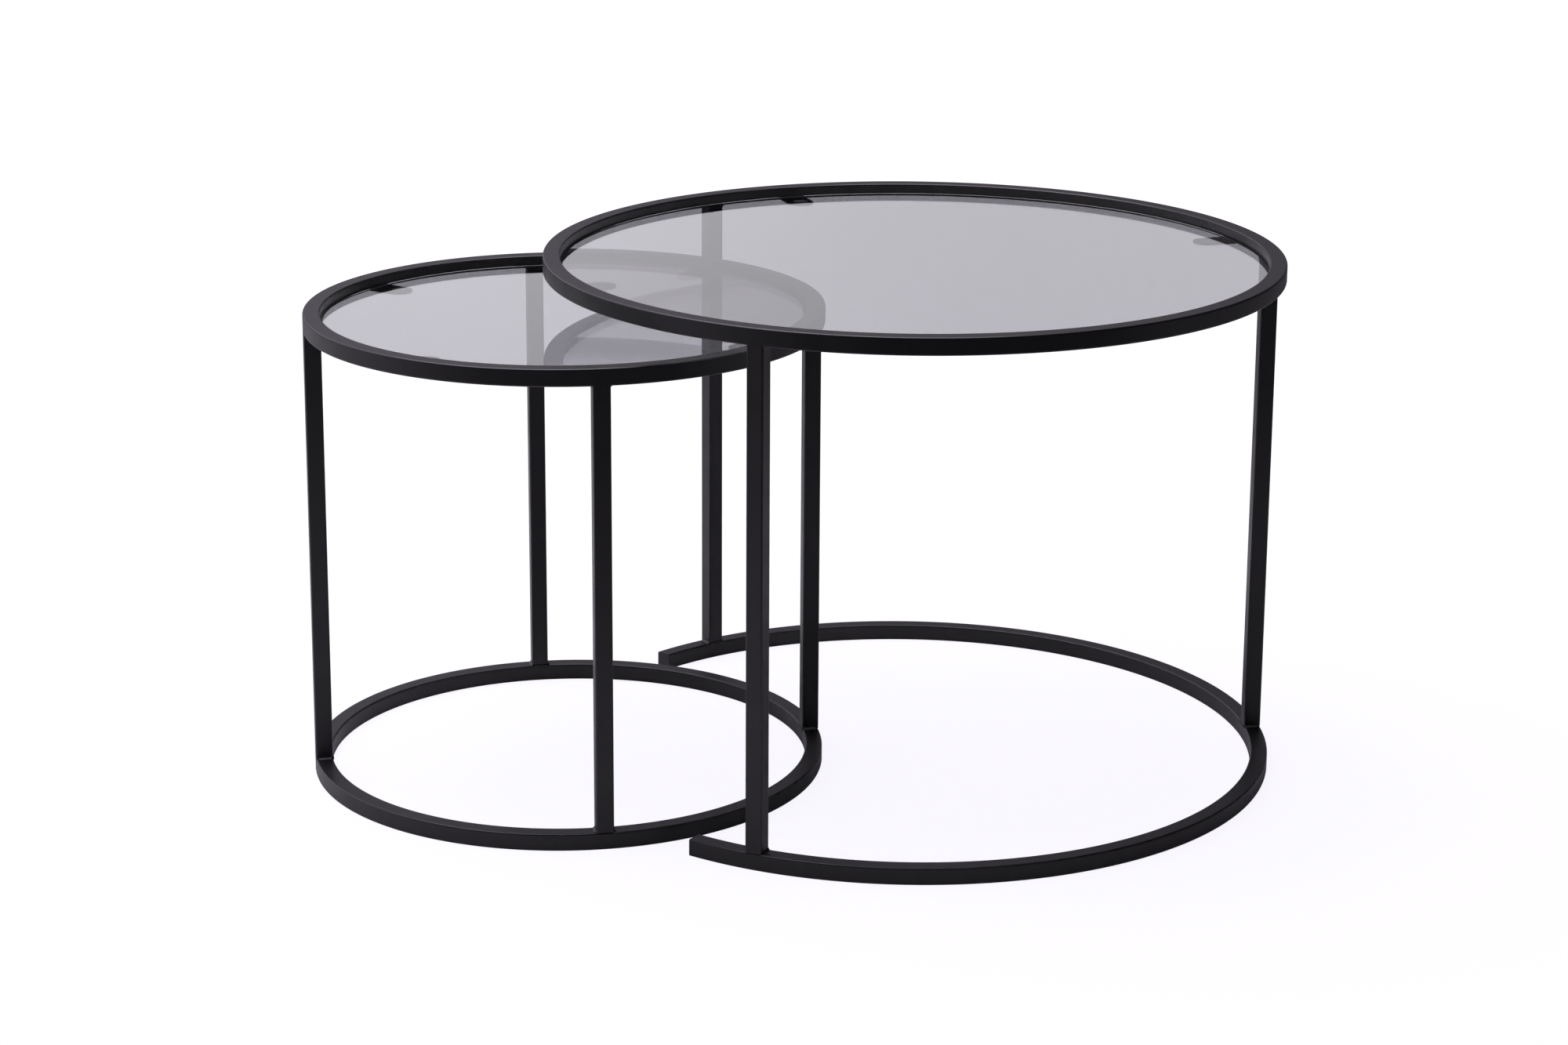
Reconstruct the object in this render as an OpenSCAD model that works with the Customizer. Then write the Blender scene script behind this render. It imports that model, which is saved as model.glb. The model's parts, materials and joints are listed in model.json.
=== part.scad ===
// A pair of round nesting coffee tables: welded square-tube frames with drop-in glass tops.
// The small table slides under the large one through the mouth of the large base ring.
// Units are millimetres, +Z is up, and Z = 0 is the floor.
// The mouth opens towards -X, which is where the small table stands.
// X = 0 and Y = 0 are the middle of the pair as it stands.

/* [Large table] */
// Outside diameter of the large table
large_d = 650; // [650:5:750]
// Height of the large table, from the floor to the top of its ring
large_h = 462; // [450:1:550]
// Width of the mouth in the large base ring, as an angle at the table's centre
mouth_angle = 98; // [98:1:110]

/* [Small table] */
// Outside diameter of the small table
small_d = 455; // [380:5:455]
// Height of the small table, from the floor to the top of its ring
small_h = 417; // [350:1:417]
// How far the small table is turned about its own centre
small_turn = 6; // [0:1:45]

/* [Placement] */
// Distance between the two table centres, 0 when they are fully nested
centre_distance = 306; // [0:1:560]

/* [Tube] */
// Width and height of the square tube
tube = 15; // [15:0.5:20]
// Wall thickness of the tube
wall = 1.2; // [1:0.1:2]
// Outside corner radius of the tube
corner_r = 1.5; // [1:0.1:2.5]
// Thickness of the plates that close the two ends of the large base ring
end_plate_t = 1.5; // [1:0.1:3]

/* [Glass] */
// Thickness of each glass top
glass_t = 4; // [4:0.5:5]
// Depth of the glass surface below the top of its ring
glass_recess = 8.5; // [4:0.5:8.5]
// Gap between the edge of the glass and the tube around it
glass_gap = 1.5; // [1:0.1:3]
// Width of the ground chamfer along the edges of the glass
glass_arris = 0.6; // [0.3:0.1:1]

/* [Glass supports] */
// Width of a support tab, which has a round end
tab_w = 24; // [16:1:28]
// How far a tab reaches in from the tube
tab_reach = 36; // [30:1:50]
// Diameter of the soft pad on each tab
pad_d = 12; // [8:1:14]
// Thickness of the soft pad
pad_t = 0.5; // [0.5:0.1:1]

/* [Hidden] */

$fn = 96;
ring_fn = 360; // sides of a circle as large as a ring
overshoot = 1; // how far a cutting solid runs past the face it cuts

frame_colour = "#1d1d1f";
pad_colour = "#c9ccce";
glass_colour = [0.36, 0.36, 0.40, 0.45];

large_r = large_d / 2;
small_r = small_d / 2;
reach_left = max(large_r, centre_distance + small_r); // from the large table's centre
large_x = (reach_left - large_r) / 2;
small_x = large_x - centre_distance;

tab_t = tube - glass_recess - glass_t - pad_t; // brings the tab's underside flush with the ring's
pad_inset = tab_reach - tab_w / 2; // from the tube to the centre of the tab's round end

// One of the large table's legs is opposite the mouth.
large_leg_count = 3;
large_leg_step = 360 / large_leg_count;
small_leg_count = 4;
small_leg_step = 360 / small_leg_count;
tab_count = 4;
tab_step = 360 / tab_count;
// The large table's tabs are placed evenly about the line halfway between two of its legs.
large_tab_turn = large_leg_step / 2 - tab_step / 2;
// The small table's tabs are halfway between its legs.
small_tab_turn = small_turn + small_leg_step / 2;

plate_turn = end_plate_t / (large_r - tube / 2) * 180 / PI;
base_start = 180 + mouth_angle / 2 + plate_turn; // where the base tube starts, anticlockwise
base_sweep = 360 - mouth_angle - 2 * plate_turn;

// --- Shapes that repeat ---

// Puts its children in the frame of the large or the small table.
module at_large() { translate([large_x, 0, 0]) children(); }
module at_small() { translate([small_x, 0, 0]) children(); }

// Solid outline of the tube, with its lower left corner at the origin.
module tube_outline() {
    translate([corner_r, 0]) square([tube - 2 * corner_r, tube]);
    translate([0, corner_r]) square([tube, tube - 2 * corner_r]);
    for (x = [corner_r, tube - corner_r], y = [corner_r, tube - corner_r])
        translate([x, y]) circle(r = corner_r);
}

// Cross-section of the hollow tube.
module tube_section() {
    difference() {
        tube_outline();
        translate([wall, wall]) square(tube - 2 * wall);
    }
}

// A ring of tube whose outside radius is r and whose underside is at z.
module tube_ring(r, z, sweep = 360) {
    translate([0, 0, z])
        rotate_extrude(angle = sweep)
            translate([r - tube, 0]) tube_section();
}

// A leg at the given angle, flush with the outside of the rings that it joins.
module leg(r, h, angle) {
    rotate([0, 0, angle])
        translate([r - tube, -tube / 2, tube])
            linear_extrude(height = h - 2 * tube) tube_section();
}

// A plate in the tube's outline that stands in the radial plane at the given angle.
module end_plate(angle) {
    rotate([0, 0, angle])
        translate([large_r - tube, 0, 0])
            rotate([90, 0, 0])
                linear_extrude(height = end_plate_t) tube_outline();
}

// A flat tab with a round end, cut to the curve of the ring that it is welded into.
module glass_tab(r, h, angle) {
    inner_r = r - tube;
    translate([0, 0, h - tube])
        intersection() {
            rotate([0, 0, angle])
                linear_extrude(height = tab_t) {
                    translate([inner_r - pad_inset, -tab_w / 2])
                        square([pad_inset + overshoot, tab_w]);
                    translate([inner_r - pad_inset, 0]) circle(d = tab_w);
                }
            translate([0, 0, -overshoot])
                cylinder(r = inner_r, h = tab_t + 2 * overshoot, $fn = ring_fn);
        }
}

// The soft pads on a table's tabs.
module glass_pads(r, h, turn) {
    for (index = [0 : tab_count - 1])
        rotate([0, 0, turn + index * tab_step])
            translate([r - tube - pad_inset, 0, h - tube + tab_t])
                cylinder(d = pad_d, h = pad_t);
}

// A round sheet of glass with a ground chamfer along both edges.
module glass_top(r, h) {
    glass_r = r - tube - glass_gap;
    translate([0, 0, h - glass_recess - glass_t])
        rotate_extrude($fn = ring_fn)
            polygon([
                [0, 0],
                [glass_r - glass_arris, 0],
                [glass_r, glass_arris],
                [glass_r, glass_t - glass_arris],
                [glass_r - glass_arris, glass_t],
                [0, glass_t]
            ]);
}

// --- Large table ---

module large_top_ring() {
    color(frame_colour) at_large() tube_ring(large_r, large_h - tube);
}

module large_base_ring() {
    color(frame_colour) at_large() rotate([0, 0, base_start]) tube_ring(large_r, 0, base_sweep);
}

module large_base_end_plate_front() {
    color(frame_colour) at_large() end_plate(base_start);
}

module large_base_end_plate_rear() {
    color(frame_colour) at_large() mirror([0, 1, 0]) end_plate(base_start);
}

module large_leg(index) {
    color(frame_colour) at_large() leg(large_r, large_h, index * large_leg_step);
}

module large_glass_tab(index) {
    color(frame_colour) at_large() glass_tab(large_r, large_h, large_tab_turn + index * tab_step);
}

module large_glass_pads() {
    color(pad_colour) at_large() glass_pads(large_r, large_h, large_tab_turn);
}

module large_glass() {
    color(glass_colour) at_large() glass_top(large_r, large_h);
}

// --- Small table ---

module small_top_ring() {
    color(frame_colour) at_small() tube_ring(small_r, small_h - tube);
}

module small_base_ring() {
    color(frame_colour) at_small() tube_ring(small_r, 0);
}

module small_leg(index) {
    color(frame_colour) at_small() leg(small_r, small_h, small_turn + index * small_leg_step);
}

module small_glass_tab(index) {
    color(frame_colour) at_small() glass_tab(small_r, small_h, small_tab_turn + index * tab_step);
}

module small_glass_pads() {
    color(pad_colour) at_small() glass_pads(small_r, small_h, small_tab_turn);
}

module small_glass() {
    color(glass_colour) at_small() glass_top(small_r, small_h);
}

large_top_ring();
large_base_ring();
large_base_end_plate_front();
large_base_end_plate_rear();
large_leg(0);  // large_leg_right
large_leg(1);  // large_leg_rear
large_leg(2);  // large_leg_front
large_glass_tab(0);  // large_glass_tab_right
large_glass_tab(1);  // large_glass_tab_rear
large_glass_tab(2);  // large_glass_tab_left
large_glass_tab(3);  // large_glass_tab_front
large_glass_pads();
large_glass();
small_top_ring();
small_base_ring();
small_leg(0);  // small_leg_right
small_leg(1);  // small_leg_rear
small_leg(2);  // small_leg_left
small_leg(3);  // small_leg_front
small_glass_tab(0);  // small_glass_tab_rear_right
small_glass_tab(1);  // small_glass_tab_rear_left
small_glass_tab(2);  // small_glass_tab_front_left
small_glass_tab(3);  // small_glass_tab_front_right
small_glass_pads();
small_glass();
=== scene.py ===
"""Looks of the two nesting tables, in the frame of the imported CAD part.

Lengths are metres, +Z is up, and the floor is at Z = 0.
"""

import json
import math

import bmesh
import bpy
from mathutils import Matrix, Vector, noise


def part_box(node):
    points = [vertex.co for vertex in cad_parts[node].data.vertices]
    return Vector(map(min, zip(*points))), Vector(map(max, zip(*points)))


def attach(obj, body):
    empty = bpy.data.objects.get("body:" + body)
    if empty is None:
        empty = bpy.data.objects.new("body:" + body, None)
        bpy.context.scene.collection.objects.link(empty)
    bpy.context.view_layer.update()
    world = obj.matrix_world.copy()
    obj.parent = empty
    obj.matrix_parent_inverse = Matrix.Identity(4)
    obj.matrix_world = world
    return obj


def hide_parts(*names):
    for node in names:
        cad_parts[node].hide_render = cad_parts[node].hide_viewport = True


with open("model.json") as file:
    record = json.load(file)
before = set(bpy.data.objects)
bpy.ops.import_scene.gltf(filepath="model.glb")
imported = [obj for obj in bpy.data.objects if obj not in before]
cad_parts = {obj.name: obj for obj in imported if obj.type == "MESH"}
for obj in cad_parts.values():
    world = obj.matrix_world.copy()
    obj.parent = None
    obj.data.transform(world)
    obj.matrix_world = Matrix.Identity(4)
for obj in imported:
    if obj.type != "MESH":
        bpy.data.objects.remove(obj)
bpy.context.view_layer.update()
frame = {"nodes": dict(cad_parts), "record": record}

MM = 0.001  # metres in a millimetre

# --- Camera ---

CAMERA_PLACE = Vector((-0.2738, -2.9602, 1.1000))
CAMERA_HEADING = math.radians(5.1047)  # from +Y towards +X
CAMERA_DIP = math.radians(14.4913)  # below the horizon
CAMERA_ROLL = math.radians(0.3159)
CAMERA_LENS = 79.736  # millimetres, like the sensor
CAMERA_SENSOR = 36
CAMERA_SHIFT = -0.08  # part of the photograph's: all of it would push other views out of frame


def make_camera():
    """The viewpoint of the photograph: nearly straight from the front, a little above the tops."""
    data = bpy.data.cameras.new("camera")
    data.sensor_width = CAMERA_SENSOR
    data.lens = CAMERA_LENS
    data.shift_y = CAMERA_SHIFT
    camera = bpy.data.objects.new("camera", data)
    bpy.context.scene.collection.objects.link(camera)
    turn = Matrix.Rotation(-CAMERA_HEADING, 4, "Z")
    tilt = Matrix.Rotation(math.pi / 2 - CAMERA_DIP, 4, "X")
    roll = Matrix.Rotation(CAMERA_ROLL, 4, "Z")
    camera.matrix_world = Matrix.Translation(CAMERA_PLACE) @ turn @ tilt @ roll
    bpy.context.scene.camera = camera


# --- Shader nodes ---


class Nodes:
    """A short way to write a node tree."""

    def __init__(self, tree):
        self.tree = tree
        tree.nodes.clear()

    def add(self, kind, inputs=None, **settings):
        node = self.tree.nodes.new(kind)
        for name, value in settings.items():
            setattr(node, name, value)
        for name, value in (inputs or {}).items():
            self.feed(node.inputs[name], value)
        return node

    def feed(self, socket, value):
        if isinstance(value, bpy.types.NodeSocket):
            self.tree.links.new(value, socket)
        else:
            socket.default_value = value

    def math(self, operation, *values):
        node = self.add("ShaderNodeMath", operation=operation)
        for socket, value in zip(node.inputs, values):
            self.feed(socket, value)
        return node.outputs[0]

    def ramp(self, value, low, high, to_low=0.0, to_high=1.0):
        """Maps low..high to to_low..to_high along a smooth step."""
        node = self.add("ShaderNodeMapRange", interpolation_type="SMOOTHSTEP")
        for name, number in (("Value", value), ("From Min", low), ("From Max", high),
                             ("To Min", to_low), ("To Max", to_high)):
            self.feed(node.inputs[name], number)
        return node.outputs["Result"]

    def noise(self, place, wavelength, detail=2.0):
        """Noise from 0 to 1 whose lumps are about one wavelength, in metres, across."""
        node = self.add("ShaderNodeTexNoise", {
            "Scale": 1 / wavelength, "Detail": detail, "Vector": place})
        return node.outputs["Fac"]

    def mix_number(self, factor, a, b):
        node = self.add("ShaderNodeMix", data_type="FLOAT")
        for index, value in zip((0, 2, 3), (factor, a, b)):
            self.feed(node.inputs[index], value)
        return node.outputs[0]

    def mix_colour(self, factor, a, b):
        node = self.add("ShaderNodeMix", data_type="RGBA")
        for index, value in zip((0, 6, 7), (factor, a, b)):
            self.feed(node.inputs[index], value)
        return node.outputs[2]

    def mix_shader(self, factor, a, b):
        return self.add("ShaderNodeMixShader", {0: factor, 1: a, 2: b}).outputs[0]

    def output(self, surface, volume=None):
        """Leads the shaders to the material's output."""
        out = self.add("ShaderNodeOutputMaterial")
        self.feed(out.inputs["Surface"], surface)
        if volume is not None:
            self.feed(out.inputs["Volume"], volume)


def new_material(name):
    material = bpy.data.materials.new(name)
    material.use_nodes = True
    return material, Nodes(material.node_tree)


# --- Studio ---

WHITE = 1.08  # brightness of the plain white surroundings, as seen directly
WHITE_TINT = (1.0, 0.985, 1.04, 1)
MIRROR_LEFT = 1.10  # brightness of the same surroundings in the glass, towards -X
MIRROR_RIGHT = 0.84  # and towards +X
MIRROR_START = -0.02  # it changes between these two values of a direction's X
MIRROR_END = 0.16

STUDIO_TINT = (1.0, 0.94, 1.08, 1)  # of the light on the tables
WALL_GLOW = 0.4  # brightest part of the walls that light the tables
WALL_TURN = math.radians(-55)  # where that part is, from +Y towards +X
WALL_SPREAD = 0.9  # 1 lights half of the room, and less lights more of it
STRIP_GLOW = 0.7  # a strip of brighter light round the upper part of the walls
STRIP_SPREAD = 1.5
STRIP_LOWER_EDGE = (0.1, 0.35)  # the strip's soft edges, as values of a direction's Z
STRIP_UPPER_EDGE = (0.65, 0.9)
ROOM_GLOW = 0.015  # the unlit part of the room

SOFTBOX_GLOW = 4.2
SOFTBOX_SIDE = 2.2
SOFTBOX_PLACE = Vector((-0.5, 0.35, 2.4))

FLOOR_RADIUS = 4.0
FLOOR_SIDES = 96
PAPER_WHITE = (0.90, 0.95, 0.84, 1)  # cancels the tint of the light
PAPER_GREY = 0.75  # the paper that the frames stand on and reflect
FRONT_SHADE_GREY = 0.12  # painted shade: the floor far in front of the tables, darkened where the light does not reach
FRONT_SHADE_START = -0.5  # painted shade: the floor dims towards the front between these two values of Y
FRONT_SHADE_END = -1.2
CORNER_SLANT = 0.7  # the paper's rear right corner is where Y plus this much of X is large
CORNER_START = 0.5  # the light on the paper falls off towards that corner
CORNER_END = 1.3
CORNER_DIM = 0.5
SHADOW_DEPTH = 0.15  # how much the shadows darken the white floor
SHADOW_THROUGH = 0.45  # the same for the floor as seen through the glass
SHADOW_START = 1.0  # the shadows fade out between these two distances from the middle
SHADOW_END = 1.6


def seen_ray(n):
    """1 for rays that see, and 0 for those that only light.

    A ray sees if it comes from the camera, or goes on sharply in or through glass, and wasn't
    scattered by a matt surface on its way.
    """
    path = n.add("ShaderNodeLightPath").outputs
    seen = n.math("MAXIMUM", path["Is Camera Ray"], path["Is Transmission Ray"])
    seen = n.math("MAXIMUM", seen, path["Is Singular Ray"])
    return n.math("MULTIPLY", seen, n.math("LESS_THAN", path["Diffuse Depth"], 0.5))


def make_world():
    """Plain white to look at. The tables are lit by the walls, most from behind and to the left."""
    world = bpy.data.worlds.new("studio")
    bpy.context.scene.world = world
    world.use_nodes = True
    n = Nodes(world.node_tree)
    place = n.add("ShaderNodeTexCoord").outputs["Generated"]
    direction = n.add("ShaderNodeSeparateXYZ", {"Vector": place}).outputs
    turn = n.math("ARCTAN2", direction["X"], direction["Y"])
    away = n.math("WRAP", n.math("SUBTRACT", turn, WALL_TURN), math.pi, -math.pi)
    glow = n.math("COSINE", n.math("MULTIPLY", away, WALL_SPREAD))
    wall = n.math("MULTIPLY", n.math("MAXIMUM", glow, 0.0), WALL_GLOW)
    over_lower = n.ramp(direction["Z"], *STRIP_LOWER_EDGE)
    under_upper = n.ramp(direction["Z"], *STRIP_UPPER_EDGE, 1.0, 0.0)
    height = n.math("MULTIPLY", over_lower, under_upper)
    side = n.math("MAXIMUM", n.math("COSINE", n.math("MULTIPLY", away, STRIP_SPREAD)), 0.0)
    strip = n.math("MULTIPLY", n.math("MULTIPLY", side, height), STRIP_GLOW)
    room = n.math("ADD", n.math("ADD", wall, strip), ROOM_GLOW)
    mirror = n.ramp(direction["X"], MIRROR_START, MIRROR_END, MIRROR_LEFT, MIRROR_RIGHT)
    path = n.add("ShaderNodeLightPath").outputs
    direct = n.math("MAXIMUM", path["Is Camera Ray"], path["Is Transmission Ray"])
    white = n.mix_number(direct, mirror, WHITE)
    seen = seen_ray(n)
    background = n.add("ShaderNodeBackground", {
        "Color": n.mix_colour(seen, STUDIO_TINT, WHITE_TINT),
        "Strength": n.mix_number(seen, room, white)})
    out = n.add("ShaderNodeOutputWorld")
    n.feed(out.inputs["Surface"], background.outputs["Background"])


def make_softbox():
    """A large softbox overhead, which is left out of what is seen directly or in the glass."""
    mesh = bpy.data.meshes.new("softbox")
    half = SOFTBOX_SIDE / 2
    corners = [(-half, -half, 0), (-half, half, 0), (half, half, 0), (half, -half, 0)]
    mesh.from_pydata(corners, [], [(0, 1, 2, 3)])
    softbox = bpy.data.objects.new("softbox", mesh)
    softbox.location = SOFTBOX_PLACE
    bpy.context.scene.collection.objects.link(softbox)
    material, n = new_material("softbox_cloth")
    glow = n.add("ShaderNodeEmission", {"Color": STUDIO_TINT, "Strength": SOFTBOX_GLOW})
    clear = n.add("ShaderNodeBsdfTransparent")
    n.output(n.mix_shader(seen_ray(n), glow.outputs[0], clear.outputs[0]))
    mesh.materials.append(material)


def make_floor():
    """A plain floor, grey where it lights the tables, white with soft shadows where it is seen."""
    mesh = bpy.data.meshes.new("floor")
    shape = bmesh.new()
    bmesh.ops.create_circle(shape, cap_ends=True, segments=FLOOR_SIDES, radius=FLOOR_RADIUS)
    shape.to_mesh(mesh)
    shape.free()
    floor = bpy.data.objects.new("floor", mesh)
    bpy.context.scene.collection.objects.link(floor)
    material, n = new_material("floor_paper")
    place = n.add("ShaderNodeTexCoord").outputs["Object"]
    distance = n.add("ShaderNodeVectorMath", {0: place}, operation="LENGTH").outputs["Value"]
    through = n.add("ShaderNodeLightPath").outputs["Is Transmission Ray"]
    deepest = n.mix_number(through, SHADOW_DEPTH, SHADOW_THROUGH)
    depth = n.math("MULTIPLY", n.ramp(distance, SHADOW_START, SHADOW_END, 1.0, 0.0), deepest)
    paper = n.add("ShaderNodeBsdfDiffuse", {"Color": PAPER_WHITE})
    clear = n.add("ShaderNodeBsdfTransparent")
    seen_floor = n.mix_shader(depth, clear.outputs[0], paper.outputs[0])
    spot = n.add("ShaderNodeSeparateXYZ", {"Vector": place}).outputs
    # painted shade: the floor that lights the tables darkens towards the front and towards the rear
    # right corner
    shade = n.ramp(spot["Y"], FRONT_SHADE_END, FRONT_SHADE_START, FRONT_SHADE_GREY, PAPER_GREY)
    corner = n.math("ADD", spot["Y"], n.math("MULTIPLY", spot["X"], CORNER_SLANT))
    shade = n.math("MULTIPLY", shade, n.ramp(corner, CORNER_START, CORNER_END, 1.0, CORNER_DIM))
    grey = n.add("ShaderNodeBsdfDiffuse", {"Color": shade})
    n.output(n.mix_shader(seen_ray(n), grey.outputs[0], seen_floor))
    mesh.materials.append(material)


# --- Materials of the object ---

COAT_BLACK = (0.0060, 0.0054, 0.0064, 1)
# paler coat of the rubbed edges: partly worn coat, partly a painted highlight along the edges
COAT_RUBBED_AND_HIGHLIGHT = (0.016, 0.0145, 0.0155, 1)
COAT_SMOOTHEST = 0.37  # roughness where the coat is glossiest and where it is dullest
COAT_ROUGHEST = 0.43
COAT_IOR = 1.5
CLOUD = 30 * MM  # size of the slow changes of gloss
CLOUD_EDGES = (0.3, 0.7)  # a surface is glossiest and dullest at these two values of the noise
PEEL = 1.6 * MM  # size of the orange peel's lumps
GRAIN = 0.35 * MM
PEEL_SHARE = 0.7  # of the height of the bumps, and the grain has the rest
PEEL_DEPTH = 0.06 * MM
PEEL_STRENGTH = 0.6
WEAR = 12 * MM  # size of the stretches where an edge is rubbed more or less
WEAR_LEAST = 0.45
WEAR_EDGES = (0.3, 0.65)  # an edge is rubbed least and fully at these two values of the noise
RUB_GLOSS = 0.16  # how much smoother, flatter and paler a fully rubbed edge is; the paleness is partly worn coat and partly a painted highlight along the edge
RUB_FLATNESS = 0.35
RUB_AND_HIGHLIGHT_PALENESS = 0.6
CLOUD_PALENESS = 0.3


def powder_coat(name, leg_turn=None):
    """Matt black powder coat: a fine orange peel, slow changes of gloss, and edges rubbed smoother
    and paler, the paleness partly wear and partly a painted highlight.

    The edges of a ring are where its normal leans between level and upright. A leg's edges are
    where its normal lies between the two directions of its sides, which are turned by leg_turn.
    """
    material, n = new_material(name)
    texture = n.add("ShaderNodeTexCoord").outputs
    place = texture["Object"]
    normal = n.add("ShaderNodeSeparateXYZ", {"Vector": texture["Normal"]}).outputs
    lean = normal["Z"]
    if leg_turn is not None:
        along = n.math("MULTIPLY", normal["X"], math.cos(leg_turn))
        lean = n.math("ADD", along, n.math("MULTIPLY", normal["Y"], math.sin(leg_turn)))
    lean = n.math("MULTIPLY", lean, lean)
    edge = n.math("MULTIPLY", n.math("MULTIPLY", lean, n.math("SUBTRACT", 1.0, lean)), 4.0)
    wear = n.ramp(n.noise(place, WEAR, detail=4.0), *WEAR_EDGES, WEAR_LEAST, 1.0)
    rub_and_highlight = n.math("MULTIPLY", edge, wear)
    peel = n.math("MULTIPLY", n.noise(place, PEEL, detail=1.0), PEEL_SHARE)
    grain = n.math("MULTIPLY", n.noise(place, GRAIN), 1 - PEEL_SHARE)
    bump = n.add("ShaderNodeBump", {
        "Height": n.math("ADD", peel, grain), "Distance": PEEL_DEPTH,
        "Strength": n.math("SUBTRACT", PEEL_STRENGTH, n.math("MULTIPLY", rub_and_highlight, RUB_FLATNESS))})
    cloud = n.noise(place, CLOUD, detail=3.0)
    unrubbed = n.ramp(cloud, *CLOUD_EDGES, COAT_SMOOTHEST, COAT_ROUGHEST)
    roughness = n.math("SUBTRACT", unrubbed, n.math("MULTIPLY", rub_and_highlight, RUB_GLOSS))
    # the rubbed edges are made paler: partly wear, partly a painted highlight along the arrises
    paleness_and_highlight = n.math("MULTIPLY", rub_and_highlight, RUB_AND_HIGHLIGHT_PALENESS)
    paleness_and_highlight = n.math("ADD", paleness_and_highlight, n.math("MULTIPLY", cloud, CLOUD_PALENESS))
    shader = n.add("ShaderNodeBsdfPrincipled", {
        "Base Color": n.mix_colour(paleness_and_highlight, COAT_BLACK, COAT_RUBBED_AND_HIGHLIGHT),
        "Roughness": roughness, "IOR": COAT_IOR, "Normal": bump.outputs[0]})
    n.output(shader.outputs[0])
    return material


GLASS_TINT = (0.36, 0.35, 0.39, 1)
GLASS_DENSITY = 280.0
GLASS_IOR = 1.52
GROUND_ROUGHNESS = 0.12  # of the ground edge
GROUND_LEAN = 0.8  # the edge ends and the face begins between these two values of the normal's Z
FACE_LEAN = 0.95


def smoked_glass():
    """Grey-tinted float glass, clear on its faces and satin on its ground edge."""
    material, n = new_material("smoked_glass_sheet")
    texture = n.add("ShaderNodeTexCoord").outputs
    normal = n.add("ShaderNodeSeparateXYZ", {"Vector": texture["Normal"]}).outputs
    upright = n.math("ABSOLUTE", normal["Z"])
    roughness = n.ramp(upright, GROUND_LEAN, FACE_LEAN, GROUND_ROUGHNESS, 0.0)
    glass = n.add("ShaderNodeBsdfPrincipled", {
        "Base Color": (1, 1, 1, 1), "Roughness": roughness, "IOR": GLASS_IOR,
        "Transmission Weight": 1.0})
    tint = n.add("ShaderNodeVolumeAbsorption", {"Color": GLASS_TINT, "Density": GLASS_DENSITY})
    n.output(glass.outputs[0], tint.outputs[0])
    return material


SILICONE = (0.8, 0.81, 0.82, 1)
SILICONE_IOR = 1.41
SILICONE_CLEARNESS = 0.5
SILICONE_LUMPS = 1.5 * MM
SILICONE_SMOOTHEST = 0.25
SILICONE_ROUGHEST = 0.45


def clear_silicone():
    """The milky clear pads under the glass, a little smoother in some places than in others."""
    material, n = new_material("clear_silicone")
    place = n.add("ShaderNodeTexCoord").outputs["Object"]
    lumps = n.noise(place, SILICONE_LUMPS)
    roughness = n.ramp(lumps, *CLOUD_EDGES, SILICONE_SMOOTHEST, SILICONE_ROUGHEST)
    shader = n.add("ShaderNodeBsdfPrincipled", {
        "Base Color": SILICONE, "Roughness": roughness, "IOR": SILICONE_IOR,
        "Transmission Weight": SILICONE_CLEARNESS})
    n.output(shader.outputs[0])
    return material


def table_centre(body):
    """The middle of a table, on the floor."""
    low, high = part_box(body + "_top_ring")
    return Vector(((low.x + high.x) / 2, (low.y + high.y) / 2, 0))


def leg_heading(node):
    """The direction of a leg from the middle of its table."""
    low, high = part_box(node)
    middle = (low + high) / 2 - table_centre(node.split("_")[0])
    return math.atan2(middle.y, middle.x)


def paint_nodes(coat):
    """Gives every CAD node the finish of its slot in the record. Each leg has a coat of its own."""
    finishes = {"black_frame": coat, "smoked_glass": smoked_glass(), "glass_pads": clear_silicone()}
    for part in frame["record"]["subparts"]:
        node = frame["nodes"][part["node"]]
        finish = finishes[part["material_slot"]]
        if "_leg_" in part["node"]:
            finish = powder_coat("black_powder_coat_" + part["node"], leg_heading(part["node"]))
        for index in range(len(node.material_slots)):
            node.material_slots[index].material = finish


# --- Tubes ---

CORNER_SHARE = 0.1  # corner radius of the tube, as a share of the tube's width
RING_SIDES = 288  # steps in a full turn of a ring
CORNER_SIDES = 6  # steps in a rounded corner of the tube


def rounded_square(radius, low, tube, corner):
    """Points and normals of the tube's outline, as (distance from the ring's centre, height)."""
    points = []
    for quarter in range(4):
        across = 1 if quarter in (0, 3) else -1
        up = 1 if quarter in (0, 1) else -1
        u = radius - tube / 2 + across * (tube / 2 - corner)
        z = low + tube / 2 + up * (tube / 2 - corner)
        for step in range(CORNER_SIDES + 1):
            angle = math.radians(90) * (quarter + step / CORNER_SIDES)
            normal = (math.cos(angle), math.sin(angle))
            points.append(((u + normal[0] * corner, z + normal[1] * corner), normal))
    return points


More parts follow.
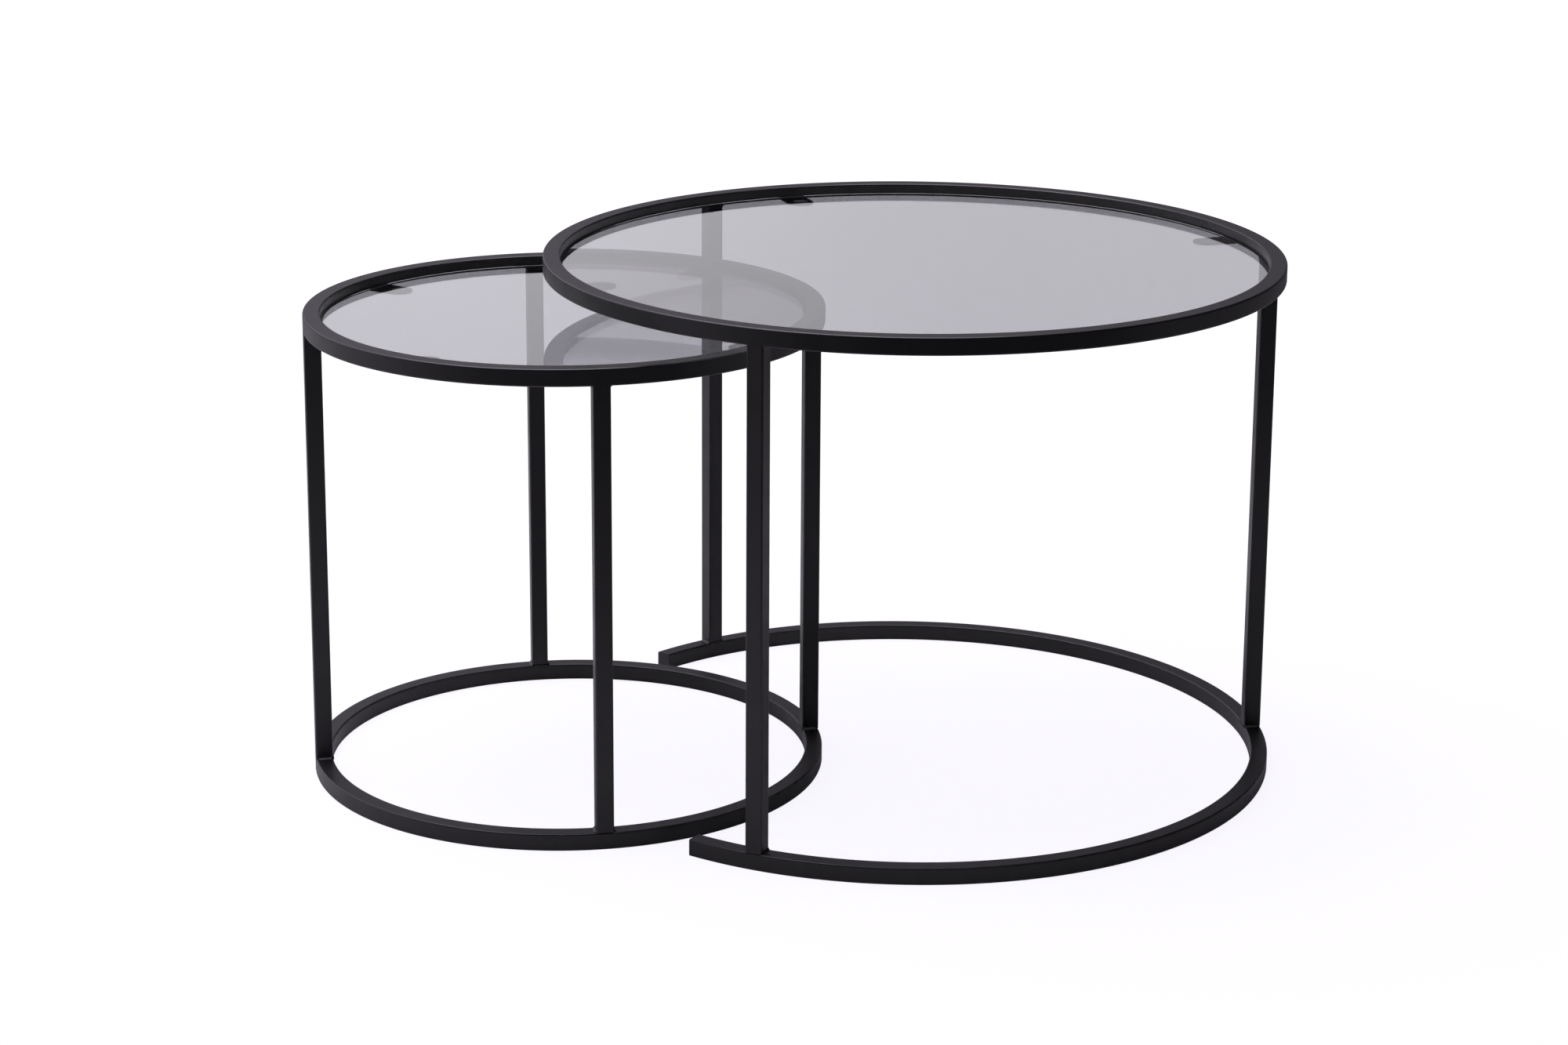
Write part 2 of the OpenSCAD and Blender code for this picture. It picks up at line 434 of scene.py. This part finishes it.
def make_ring(node, body, coat, start=0.0, sweep=math.tau):
    """A finer copy of a ring, whose CAD mesh is too coarse for a close look at its edges.

    A ring that is swept less than a full turn is open, and both of its ends are capped.
    """
    low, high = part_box(node)
    radius = (high.y - low.y) / 2
    centre = table_centre(body)
    tube = high.z - low.z
    outline = rounded_square(radius, low.z, tube, tube * CORNER_SHARE)
    steps = round(RING_SIDES * sweep / math.tau)
    closed = sweep == math.tau
    points = []
    normals = []
    rows = steps if closed else steps + 1
    for step in range(rows):
        turn = start + sweep * step / steps
        outwards = Vector((math.cos(turn), math.sin(turn), 0))
        for (u, z), normal in outline:
            points.append((centre.x + outwards.x * u, centre.y + outwards.y * u, z))
            normals.append((outwards.x * normal[0], outwards.y * normal[0], normal[1]))
    width = len(outline)
    faces = []
    for step in range(steps):
        this = step * width
        following = (step + 1) % rows * width
        for index in range(width):
            after = (index + 1) % width
            faces.append((this + index, following + index, following + after, this + after))
    if not closed:
        faces.append(tuple(range(width)))
        faces.append(tuple(reversed(range(steps * width, (steps + 1) * width))))
    data = bpy.data.meshes.new(node + "_fine")
    data.from_pydata(points, [], faces)
    data.polygons.foreach_set("use_smooth", [True] * len(faces))
    data.normals_split_custom_set_from_vertices(normals)
    ring = bpy.data.objects.new(node + "_fine", data)
    bpy.context.scene.collection.objects.link(ring)
    data.materials.append(coat)
    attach(ring, body + "_table")
    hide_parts(node)


def make_rings(coat):
    """The three closed rings, and the open base ring, which runs from end plate to end plate."""
    make_ring("large_top_ring", "large", coat)
    make_ring("small_top_ring", "small", coat)
    make_ring("small_base_ring", "small", coat)
    plate = frame["nodes"]["large_base_end_plate_front"].data.vertices
    centre = table_centre("large")
    # The angles of the front plate are below zero, and the tube starts at the largest of them.
    start = max(math.atan2(vertex.co.y - centre.y, vertex.co.x - centre.x) for vertex in plate)
    make_ring("large_base_ring", "large", coat, start, -2 * start)


# --- Welds ---

BEAD = 2.2 * MM  # size of the bead round the end of a leg
TAB_BEAD = 1.6 * MM  # of the beads down the sides of a tab
TAB_TOP_BEAD = 0.8 * MM  # of the bead over the top of a tab
BURIED = 0.3 * MM  # how far the toes of a bead run into the tube
RIPPLE_PITCH = 1.3 * MM
RIPPLE_DEPTH = 0.09  # as a share of the bead's size
HAND_PITCH = 2.7 * MM  # the uneven hand behind the ripples
HAND_DEPTH = 0.12
HAND_SEED_STEP = 7.3  # keeps one bead's unevenness apart from the next one's
BEAD_START = 0.12  # size at the two ends of a bead, as a share of its full size
LEG_RUN_IN = 1.5 * MM  # length over which a bead grows to its full size
TAB_RUN_IN = 1.0 * MM
TAB_TOE_GAP = 0.6 * MM  # how far above the underside of a tab its side beads end
TAB_END_GAP = 0.5 * MM  # how far from the sides of a tab the bead under it ends
LEG_BULGE = 0.32  # how far the middle of a fillet is drawn out, as a share of its size
TAB_BULGE = 0.35
STEP = 0.4 * MM  # distance between two outlines of a bead
OUTLINE_STEPS = 8  # from one toe of a bead to the other
BEND_STEPS = 6  # round a corner of a leg
SEAM_STEPS = 16  # across a leg
SEAM_ROWS = 10  # along a leg
SEAM_INSET = 0.2 * MM  # how far from the sides of a leg the filled seam ends
SEAM_PROUD = 0.07 * MM  # height of the filled seam's middle above its edges
SEAM_SUNK = 0.04 * MM  # depth of its edges below the surface of the tubes
RIM = 0.1 * MM  # points that lie this close to a tab's farthest one belong to its outer end


def add_sweep(mesh, outlines, placing):
    """Joins a row of closed outlines into one solid."""
    rows = [[mesh.verts.new(placing @ point) for point in outline] for outline in outlines]
    for first, second in zip(rows, rows[1:]):
        for index in range(len(first)):
            after = (index + 1) % len(first)
            mesh.faces.new((first[index], first[after], second[after], second[index]))
    mesh.faces.new(tuple(reversed(rows[0])))
    mesh.faces.new(tuple(rows[-1]))


def bead_outline(buried, toe, bulge, other_toe):
    """A bead's outline: a curve from toe to toe that is drawn towards the bulge.

    The welds below place the toes and the bulge by shares of the bead's size.
    """
    outline = [buried]
    for index in range(OUTLINE_STEPS + 1):
        t = index / OUTLINE_STEPS
        outline.append(toe * (1 - t) ** 2 + bulge * (2 * t * (1 - t)) + other_toe * t ** 2)
    return outline


def ripple(travel, seed):
    """The even ripples of a weld and the uneven hand behind them."""
    even = math.sin(travel / RIPPLE_PITCH * math.tau)
    uneven = noise.noise(Vector((travel / HAND_PITCH, seed * HAND_SEED_STEP, 0.5)))
    return 1 + RIPPLE_DEPTH * even + HAND_DEPTH * uneven


def taper(travel, total, length):
    """Runs a bead in from a small start and out again at its two ends."""
    near = min(travel, total - travel) / length
    return BEAD_START + (1 - BEAD_START) * math.sin(min(near, 1.0) * math.pi / 2)


def path_round_leg(radius, tube, corner):
    """The way of a bead round a leg, from its outer right corner to its outer left one.

    Each step is a point, the normal there, and a number that goes from 0 on two sides of the leg
    to 1 on its inner side.
    """
    half = tube / 2
    inner = radius - tube
    outer = radius - corner
    path = []
    count = round((outer - inner - corner) / STEP)
    for index in range(count + 1):
        u = outer + (inner + corner - outer) * index / count
        path.append((Vector((u, -half, 0)), Vector((0, -1, 0)), 0.0))
    for index in range(1, BEND_STEPS + 1):
        angle = math.pi / 2 * index / BEND_STEPS
        normal = Vector((-math.sin(angle), -math.cos(angle), 0))
        centre = Vector((inner + corner, -half + corner, 0))
        path.append((centre + normal * corner, normal, index / BEND_STEPS))
    count = round((half - corner) / STEP)
    for index in range(1, count + 1):
        v = (-half + corner) * (1 - index / count)
        path.append((Vector((inner, v, 0)), Vector((-1, 0, 0)), 1.0))
    flip = Vector((1, -1, 1))
    back = reversed(path[:-1])
    return path + [(place * flip, normal * flip, inside) for place, normal, inside in back]


def distances(places):
    """How far along the way each of its places is."""
    travel = [0.0]
    for first, second in zip(places, places[1:]):
        travel.append(travel[-1] + (second - first).length)
    return travel


def weld_leg(mesh, placing, radius, tube, corner, level, up, seed):
    """A bead round three sides of a leg's end at the given level.

    up is 1 where the leg stands on its ring and -1 where it hangs below it. On two sides of the
    leg the bead is a fillet on the flat of the ring. On the leg's inner side there is no flat to
    lie on, so the bead lies in the seam between the two tubes.
    """
    path = path_round_leg(radius, tube, corner)
    travel = distances([place for place, normal, inside in path])
    outlines = []
    for (place, normal, inside), along in zip(path, travel):
        size = BEAD * ripple(along, seed) * taper(along, travel[-1], LEG_RUN_IN)
        rise = Vector((0, 0, up))
        place = place + Vector((0, 0, level))
        toe = place + rise * size - normal * BURIED
        on_top = place + normal * size - rise * BURIED
        on_side = place - rise * (corner + 0.5 * size) - normal * BURIED
        bulge_side = place + (normal + rise) * (LEG_BULGE * size)
        bulge_seam = place + normal * (0.95 * size) - rise * (0.25 * size)
        outlines.append(bead_outline(
            place - (normal + rise) * (2 * BURIED), toe,
            bulge_side.lerp(bulge_seam, inside), on_top.lerp(on_side, inside)))
    add_sweep(mesh, outlines, placing)


def fill_seam(mesh, placing, radius, tube, corner, level):
    """The seam on the outside of a leg's top, filled and ground flush with the ring and the leg.

    The filling reaches a little way along both tubes, and its surface goes over smoothly from the
    leg's rounded edges to the curve of the ring.
    """
    half = tube / 2
    reach = 2 * corner
    outlines = []
    for index in range(SEAM_STEPS + 1):
        v = (2 * index / SEAM_STEPS - 1) * (half - SEAM_INSET)
        sag = radius - math.sqrt(radius ** 2 - v ** 2)
        rounding = max(0.0, abs(v) - (half - corner))
        edge = corner - math.sqrt(corner ** 2 - rounding ** 2)
        outline = [Vector((radius - corner, v, level + end)) for end in (reach, -reach)]
        for row in range(SEAM_ROWS + 1):
            t = row / SEAM_ROWS
            proud = SEAM_PROUD * math.sin(t * math.pi) - SEAM_SUNK
            blend = t * t * (3 - 2 * t)
            surface = radius - edge * (1 - blend) - sag * blend
            outline.append(Vector((surface + proud, v, level + reach * (2 * t - 1))))
        outlines.append(outline)
    add_sweep(mesh, outlines, placing)


def weld_tab(mesh, placing, inner, half, low, high, seed):
    """A bead over the top of a tab and down its two sides, where it meets the ring's inside."""
    path = []
    side = high - low - TAB_TOE_GAP
    count = round(side / STEP)
    for index in range(count + 1):
        path.append((-half, high - side * (1 - index / count), -1.0, 0.0))
    count = round(2 * half / STEP)
    for index in range(1, count):
        path.append((half * (2 * index / count - 1), high, 0.0, 1.0))
    first_side = path[:round(side / STEP) + 1]
    path += [(-v, z, 1.0, up) for v, z, across, up in reversed(first_side)]
    travel = distances([Vector((0, v, z)) for v, z, across, up in path])
    outlines = []
    for (v, z, across, up), along in zip(path, travel):
        size = TAB_TOP_BEAD if up else TAB_BEAD
        size *= ripple(along, seed) * taper(along, travel[-1], TAB_RUN_IN)
        wall = math.sqrt(inner ** 2 - v ** 2)
        place = Vector((wall, v, z))
        spread = Vector((0, across, up))
        inward = Vector((-1, 0, 0))
        outlines.append(bead_outline(
            place - (spread + inward) * BURIED, place + spread * size - inward * BURIED,
            place + (spread + inward) * (TAB_BULGE * size), place + inward * size - spread * BURIED))
    add_sweep(mesh, outlines, placing)


def weld_under_tab(mesh, placing, inner, half, low, corner, seed):
    """A bead in the seam between the underside of a tab and the rounded edge of the ring."""
    outlines = []
    length = 2 * (half - TAB_END_GAP)
    count = round(length / STEP)
    for index in range(count + 1):
        along = length * index / count
        v = along - length / 2
        wall = math.sqrt(inner ** 2 - v ** 2)
        size = corner * ripple(along, seed) * taper(along, length, TAB_RUN_IN)
        outlines.append(bead_outline(
            Vector((wall + 0.3 * corner, v, low + 0.8 * corner)),
            Vector((wall - 0.9 * size, v, low + 0.1 * MM)),
            Vector((wall + 0.1 * size, v, low - 0.45 * size)),
            Vector((wall + 1.1 * size, v, low + 0.15 * MM))))
    add_sweep(mesh, outlines, placing)


def heading_of(node, centre):
    """The direction of a node from the table's centre, from the part of it that is farthest out."""
    thing = frame["nodes"][node]
    points = [vertex.co - centre for vertex in thing.data.vertices]
    reach = max(math.hypot(point.x, point.y) for point in points)
    rim = [point for point in points if math.hypot(point.x, point.y) > reach - RIM]
    middle = sum(rim, Vector())
    return math.atan2(middle.y, middle.x)


def half_width(node, placing):
    """How far a node reaches to either side of its heading, to a hundredth of a millimetre."""
    back = placing.inverted()
    reach = max(abs((back @ vertex.co).y) for vertex in frame["nodes"][node].data.vertices)
    return round(reach / MM, 2) * MM


def make_welds(name, body, coat):
    """All the welds of one table, placed from its top ring, legs and tabs."""
    nodes = [part["node"] for part in frame["record"]["subparts"] if part["node"].startswith(body)]
    ring_low, ring_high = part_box(body + "_top_ring")
    radius = (ring_high.y - ring_low.y) / 2
    centre = table_centre(body)
    tube = ring_high.z - ring_low.z
    corner = tube * CORNER_SHARE
    inner = radius - tube
    shape = bmesh.new()
    for seed, node in enumerate(nodes):
        low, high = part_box(node)
        if "_leg_" in node:
            placing = Matrix.Translation(centre) @ Matrix.Rotation(leg_heading(node), 4, "Z")
            weld_leg(shape, placing, radius, tube, corner, low.z, 1, seed)
            weld_leg(shape, placing, radius, tube, corner, high.z, -1, seed + 0.5)
            fill_seam(shape, placing, radius, tube, corner, high.z)
        if "_glass_tab_" in node:
            placing = Matrix.Translation(centre) @ Matrix.Rotation(heading_of(node, centre), 4, "Z")
            half = half_width(node, placing)
            weld_tab(shape, placing, inner, half, low.z, high.z, seed)
            weld_under_tab(shape, placing, inner, half, low.z, corner, seed)
    bmesh.ops.recalc_face_normals(shape, faces=shape.faces)
    for face in shape.faces:
        face.smooth = True
    data = bpy.data.meshes.new(name)
    shape.to_mesh(data)
    shape.free()
    welds = bpy.data.objects.new(name, data)
    bpy.context.scene.collection.objects.link(welds)
    data.materials.append(coat)
    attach(welds, body + "_table")


make_camera()
make_world()
make_floor()
make_softbox()
frame_coat = powder_coat("black_powder_coat")
paint_nodes(frame_coat)
make_rings(frame_coat)
make_welds("large_table_welds", "large", frame_coat)
make_welds("small_table_welds", "small", frame_coat)
bpy.context.scene.view_settings.view_transform = "Standard"
